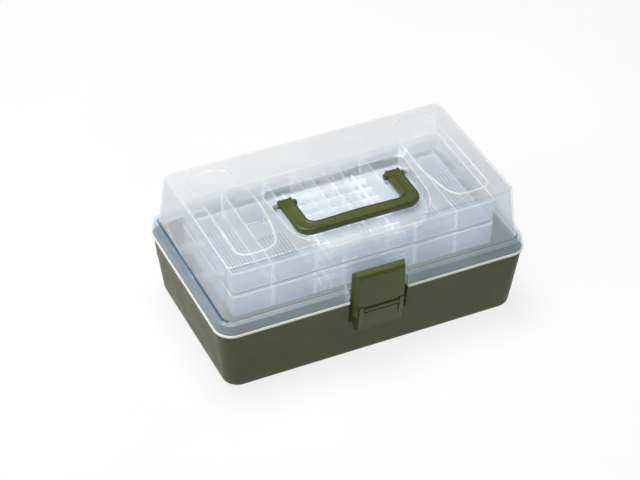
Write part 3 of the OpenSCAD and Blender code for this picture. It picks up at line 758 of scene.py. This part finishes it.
def handle():
    """U-shaped bar swept from one arm's end round to the middle of its front, and mirrored."""
    low, high = node_box("handle")
    half_w, arm, grip = 65.5, 15.5, 12.5
    outer_r, inner_r = 14.0, 8.0
    front, end = low.y, HANDLE_Y + 4.4
    outer = arc(half_w - outer_r, front + outer_r, outer_r, 0, -90, 12)
    inner = arc(half_w - arm - inner_r, front + grip + inner_r, inner_r, 0, -90, 12)
    # Each station of the sweep has an outer point, an inner point and a share of the height.
    stations = [((half_w, y), (half_w - arm, y), height)
                for y, height in ((end - 0.02, 0.86), (end - 0.3, 0.94), (end - 0.9, 1.0),
                                  (HANDLE_Y - 10, 1.0), (HANDLE_Y - 22, 1.0))]
    stations += [(a, b, 1.0) for a, b in zip(outer, inner)]
    for i in range(1, 9):
        t = i / 8
        swell = 1.2 * math.sin(math.pi * t / 2) ** 2
        stations.append((((half_w - outer_r) * (1 - t), front),
                         ((half_w - arm - inner_r) * (1 - t), front + grip + swell), 1.0))
    # Section of the bar, hollowed on top, as shares of its width from outside and of its height.
    profile = [(0.0, 0.52), (0.015, 0.8), (0.05, 0.94), (0.10, 1.0), (0.155, 1.0), (0.19, 0.93),
               (0.25, 0.915), (0.5, 0.925), (0.75, 0.915), (0.81, 0.93), (0.845, 1.0), (0.90, 1.0),
               (0.96, 0.95), (1.0, 0.80), (1.0, 0.2), (0.97, 0.06), (0.92, 0.0), (0.32, 0.0),
               (0.22, 0.04), (0.10, 0.2)]
    rings = []
    for (ox, oy), (ix, iy), height in stations:
        rings.append([(ox + (ix - ox) * u, oy + (iy - oy) * u,
                       low.z + (high.z - low.z) * ((v - 0.5) * height + 0.5)) for u, v in profile])
    mirrored = [[(-x, y, z) for x, y, z in ring] for ring in reversed(rings[:-1])]
    solid = Solid()
    solid.loft(rings + mirrored)
    for side in (-1, 1):
        solid.lathe_x([(64.8, 2.6), (70.4, 2.6), (71.0, 2.0)], HANDLE_Y, HANDLE_Z, side)
        solid.lathe_x([(46.8, 2.6), (47.3, 3.4), (51.0, 3.6)], HANDLE_Y, HANDLE_Z, side)
    piece = solid.build("carrying_handle", [OLIVE_TRIM], smooth=40)
    place(piece, "handle", "olive_trim", "handle")


# ---------------------------------------------------------------- trays

def tray_pivots(level):
    """Y and Z of a tray's front and rear pivots, as far apart as the arms' pivots on the tub."""
    y, z = pivot(f"{level}_tray_pivot")
    front_y, rear_y = pivot("front_arm_left_pivot")[0], pivot("rear_arm_left_pivot")[0]
    return (y, z), (y + rear_y - front_y, z)


def tray(level):
    low, high = node_box(f"tray_{level}")
    width, cy = high.y - low.y, (low.y + high.y) / 2
    z0, z1, floor = low.z, high.z, low.z + TRAY_WALL
    rings = []
    for z, g, r in ((z0 + 0.6, -7, 3), (z0 + 0.6, -4.4, 3), (z0, -3.8, 3.2), (z0, -3.0, 3.4),
                    (z0 + 0.5, -2.6, 3.6), (z0 + 1.6, -2.4, 3.8), (z0 + 2.0, -1.9, 4.2),
                    (z0 + 2.3, -0.5, 4.8), (z0 + 2.9, 0, 5), (z0 + TRAY_FOOT_H, 0, 5),
                    (z1 - TRAY_RIM_H, 0, 5), (z1 - 0.3, 0, 5), (z1, -0.35, 4.7),
                    (z1, -TRAY_WALL + 0.35, 3.6), (z1 - 0.4, -TRAY_WALL, 3.2),
                    (floor + 2.0, -TRAY_WALL, 3.2), (floor + 0.6, -TRAY_WALL - 0.6, 2.8),
                    (floor, -TRAY_WALL - 2, 2.0)):
        rings.append([(x, y, z) for x, y in rounded(TRAY_LENGTH + 2 * g, width + 2 * g, r, cy, 6)])
    solid = Solid()
    solid.loft(rings)
    y0, y1 = cy - width / 2 + TRAY_WALL - 0.1, cy + width / 2 - TRAY_WALL + 0.1
    for x in PARTITIONS:
        for s in (-1, 1):
            solid.slab((s * x - 0.8, y0 + 1.2, floor - 0.2), (s * x + 0.8, y1 - 1.2, z1 - 1.5),
                       0.15)
            for e0, e1 in ((y0 - 1.4, y0 + 1.0), (y1 - 1.0, y1 + 0.4)):
                # Strips at the partitions' roots, pale and glowing: painted light.
                solid.slab((s * x - 1.2, e0, z0 + 3.0), (s * x + 1.2, e1, z1 - 0.4), 0.1, ROOT_GLOW_TAG)
    tray_ribs(solid, y0, y1, floor)
    tray_grid(solid, y0, y1, floor)
    boss = [(139.2, 6.4), (139.9, 5.6), (140.8, 5.0), (142.4, 4.8)]
    for side in (-1, 1):
        for y, z in tray_pivots(level):
            solid.lathe_x(boss, y, z, side)
    piece = solid.build(f"{level}_tray_body", TRAY_MATERIALS)
    for f in piece.data.polygons:
        z = f.center.z * 1000
        outward = f.normal.x * f.center.x + f.normal.y * (f.center.y - cy / 1000) > 0
        # The rim band is painted brighter: a painted highlight along the rim.
        if z > z1 - TRAY_RIM_H:
            f.material_index = LIT_EDGE_TAG
        # The foot band's outer faces take the dark copy: a painted shadow line at the seam between
        # stacked trays.
        elif z < z0 + TRAY_FOOT_H and f.material_index == WALL_TAG and outward:
            f.material_index = FOOT_SHADOW_TAG
    piece.visible_shadow = False
    place(piece, f"{level}_tray", "milky_tray", f"tray_{level}")


def tray_ribs(solid, y0, y1, floor):
    """Ridges on the floors of the outer bays, and the comb of divider slots up the long walls, in a
    darker blue copy of the plastic that paints shade along them.
    """
    for s in (-1, 1):
        for a, b, on_floor in ((101.0, 137.0, True), (56.5, 94.5, True), (26.0, 50.0, False)):
            count = int((b - a) / RIB_PITCH)
            start = (a + b - count * RIB_PITCH) / 2
            for i in range(count + 1):
                x = s * (start + i * RIB_PITCH)
                if on_floor:
                    solid.slab((x - 0.7, y0 + 2, floor - 0.2), (x + 0.7, y1 - 2, floor + 1.1),
                               0.15, RIDGE_SHADE_TAG)
                for e0, e1, top in ((y0 - 1.1, y0 + 1.3, floor + 11), (y1 - 1.3, y1, floor + 19)):
                    solid.slab((x - 0.5, e0, floor + 3.0), (x + 0.5, e1, top), 0.1, RIDGE_SHADE_TAG)


def tray_grid(solid, y0, y1, floor):
    """Low ridges both ways that part the middle bays into small squares, pale and with a painted
    glow.
    """
    gaps = ((-52.0, -23.6), (-21.4, -8.6), (-6.4, 6.4), (8.6, 21.4), (23.6, 52.0))
    rows = 8
    for k in range(1, rows):
        y = y0 + (y1 - y0) * k / rows
        for a, b in gaps:
            solid.slab((a, y - 1.4, floor - 0.2), (b, y + 1.4, floor + 4.2), 0.4, ROOT_GLOW_TAG)
    for x in (-42.5, -33.0, 33.0, 42.5):
        solid.slab((x - 0.8, y0 + 1.5, floor - 0.2), (x + 0.8, y1 - 1.5, floor + 3.2),
                   0.2, ROOT_GLOW_TAG)


def divider(node, body):
    """Removable plate with a finger notch in its top edge."""
    low, high = node_box(node)
    dx, dy, h = high.x - low.x, high.y - low.y, high.z - low.z
    along_x = dx > dy
    length, thick = (dx, dy) if along_x else (dy, dx)
    cx, cy = (low.x + high.x) / 2, (low.y + high.y) / 2
    half, notch = length / 2, 7.0
    outline = [(-half, 0), (half, 0), (half, h - 1.5)]
    outline += curve((half, h - 1.5), (half, h), (half - 1.5, h), 4)[1:]
    outline += [(notch + 2, h)]
    outline += curve((notch + 2, h), (notch, h), (notch - 0.8, h - 1.8), 4)[1:]
    outline += curve((notch - 0.8, h - 1.8), (notch - 2.4, h - 4.6), (0, h - 4.6), 5)[1:]
    outline += [(-x, y) for x, y in reversed(outline[2:-1])]
    rings = []
    for off in (-thick / 2, thick / 2):
        if along_x:
            rings.append([(cx + u, cy - off, low.z + v) for u, v in outline])
        else:
            rings.append([(cx + off, cy + u, low.z + v) for u, v in outline])
    solid = Solid()
    solid.loft(rings)
    # The plate takes the pale edge copy, painted brighter for the light along its edges.
    piece = solid.build(f"{node}_plate", [TRAY_LIT_EDGE])
    soften(piece, 0.25, 40, 2)
    place(piece, body, "milky_tray", node)


# ---------------------------------------------------------------- arms, links, pins

SHANK_R, HEAD_T = 2.0, 1.3                # of every rivet


def domed(x0, x1, head, at_end=True):
    """Profile of a rivet from x0 to x1, with a domed head of radius head at one end."""
    dome = [(HEAD_T, head * 0.5), (HEAD_T * 0.85, head * 0.78), (HEAD_T * 0.45, head * 0.97),
            (0.0, head)]
    if at_end:
        neck = x1 - HEAD_T
        return [(x0, SHANK_R), (neck, SHANK_R)] + [(neck + d, r) for d, r in reversed(dome)]
    neck = x0 + HEAD_T
    return [(neck - d, r) for d, r in dome] + [(neck, SHANK_R), (x1, SHANK_R)]


def turned(node, body, slot, material, parts, sides=(-1, 1)):
    """Turned pins or rivets. parts holds (profile, y, z), the profile from the inner end out."""
    solid = Solid()
    for profile, y, z in parts:
        for side in sides:
            solid.lathe_x(profile, y, z, side)
    place(solid.build(f"{node}_turned", [material]), body, slot, node)


def rivets(node, body, parts, sides=(-1, 1)):
    turned(node, body, "pale_rivet", RIVET, parts, sides)


def linkage():
    base_rivet = domed(141.1, 151.6, 4.0, at_end=False)
    tray_rivet = domed(138.3, 147.1, 4.0)
    lid_rivet = domed(146.0, 152.6, 5.0, at_end=False) + [(152.61, 3.2), (153.2, 3.0), (153.4, 2.2)]
    arm_rivet = [(142.8, 2.0), (145.6, 2.0), (145.61, 3.8), (145.9, 4.0), (147.2, 4.0),
                 (147.3, 3.7), (147.31, 2.0), (149.99, 2.0), (150.0, 4.0), (150.5, 3.9),
                 (151.0, 3.1), (151.3, 2.0)]
    front, rear = pivot("front_arm_left_pivot"), pivot("rear_arm_left_pivot")
    rivets("base_rivets", "base", [(base_rivet, *front), (base_rivet, *rear)])
    for level in ("lower", "upper"):
        rivets(f"tray_{level}_rivets", f"{level}_tray",
               [(tray_rivet, y, z) for y, z in tray_pivots(level)])
    rivets("lid_link_rivets", "lid", [(lid_rivet, LUG_Y, LUG_Z)])
    for side, name in ((-1, "left"), (1, "right")):
        for node, edge in ((f"front_arm_{name}", 0.5), (f"rear_arm_{name}", 0.5),
                           (f"lid_link_{name}", 0.4)):
            place(from_cad(node, f"{node}_bar", TRAY_MILKY, edge), node, "milky_tray", node)
        rivets(f"arm_link_rivet_{name}", f"front_arm_{name}",
               [(arm_rivet, *pivot(f"lid_link_{name}_pivot"))], (side,))
        node = f"hinge_pin_{name}"
        inner, outer = sorted(abs(corner.x) for corner in node_box(node))
        pin = [(inner, 1.1), (inner + 0.4, 1.5), (outer - 1.1, 1.5), (outer - 1.1, 2.6),
               (outer - 0.35, 2.5), (outer, 1.7)]
        turned(node, "base", "steel_pin", STEEL, [(pin, HINGE_Y, HINGE_Z)], (side,))


# ---------------------------------------------------------------- latch

def latch():
    lever = from_cad("latch_lever", "latch_lever_cover", OLIVE_TRIM, 1.2)
    place(lever, "latch", "olive_trim", "latch_lever")
    bracket = from_cad("latch_bracket", "latch_bracket_plate", OLIVE_TRIM, 0.6)
    place(bracket, "base", "olive_trim", "latch_bracket")
    x0, x1 = (corner.x for corner in node_box("latch_pin"))
    pin = [(x0, 1.5), (x0 + 0.5, 2.0), (x1 - 0.5, 2.0), (x1, 1.5)]
    turned("latch_pin", "base", "olive_trim", OLIVE_TRIM, [(pin, LATCH_Y, LATCH_Z)], (1,))


# ---------------------------------------------------------------- floor, light, camera
# Lengths are in metres from here on.

FLOOR_HALF, FLOOR_Z = 6.0, -0.0002
LIT_POINT = Vector((0, 0, 0.07))


def stage():
    mesh = bpy.data.meshes.new("floor")
    corners = ((-1, -1), (1, -1), (1, 1), (-1, 1))
    mesh.from_pydata([(sx * FLOOR_HALF, sy * FLOOR_HALF, FLOOR_Z) for sx, sy in corners],
                     [], [(0, 1, 2, 3)])
    floor = new_object("floor", mesh)
    material, tree, shader = new_material("floor_paper")
    tree.links.new(blend_colours(tree, noise(tree, 3.0), (0.11, 0.11, 0.11), (0.13, 0.13, 0.13)),
                   shader.inputs["Base Color"])
    shader.inputs["Roughness"].default_value = 0.9
    shader.inputs["Emission Color"].default_value = (1, 1, 1, 1)
    shader.inputs["Emission Strength"].default_value = 0.82
    mesh.materials.append(material)


def studio():
    """Pale surroundings, brighter towards the back left, and three soft lights."""
    world = bpy.data.worlds.new("studio")
    world.use_nodes = True
    tree = world.node_tree
    coords = tree.nodes.new("ShaderNodeTexCoord")
    toward = tree.nodes.new("ShaderNodeVectorMath")
    toward.operation = "DOT_PRODUCT"
    toward.inputs[1].default_value = Vector((-0.72, 0.36, 0.60)).normalized()
    tree.links.new(coords.outputs["Generated"], toward.inputs[0])
    bright = remap(tree, toward.outputs["Value"], -0.5, 0.75, 0.65, 1.5)
    tree.links.new(bright.outputs["Result"], tree.nodes["Background"].inputs["Strength"])
    bpy.context.scene.world = world
    softbox("key_left", (-1.5, -0.1, 1.0), 0.9, 12)
    softbox("top", (-0.1, 0.35, 1.6), 1.1, 31)
    softbox("front", (-0.5, -1.7, 0.6), 0.8, 5)


def softbox(name, location, size, power):
    light = bpy.data.lights.new(name, "AREA")
    light.size = size
    light.energy = power
    lamp = new_object(name, light)
    lamp.location = location
    lamp.rotation_mode = "QUATERNION"
    lamp.rotation_quaternion = (LIT_POINT - lamp.location).to_track_quat("-Z", "Y")


def camera():
    """Camera at the photograph's viewing angle."""
    azimuth, elevation, roll = (math.radians(a) for a in (-25.438, 38.771, 0.70))
    distance = 2.11696
    target = Vector((-0.018285, 0, 0.0765))
    back = Vector((math.sin(azimuth) * math.cos(elevation),
                   -math.cos(azimuth) * math.cos(elevation), math.sin(elevation)))
    data = bpy.data.cameras.new("camera")
    data.lens = 120.915
    data.sensor_width = 36
    cam = new_object("camera", data)
    cam.location = target + back * distance
    cam.rotation_mode = "QUATERNION"
    cam.rotation_quaternion = back.to_track_quat("Z", "Y") @ Quaternion((0, 0, 1), roll)
    bpy.context.scene.camera = cam
    bpy.context.scene.view_settings.view_transform = "Standard"


camera()
stage()
studio()
tub()
lid()
handle()
for level in ("lower", "upper"):
    tray(level)
    for kind in ("cross", "long"):
        for name in ("left", "right"):
            divider(f"{level}_divider_{kind}_{name}", f"{level}_tray")
linkage()
latch()
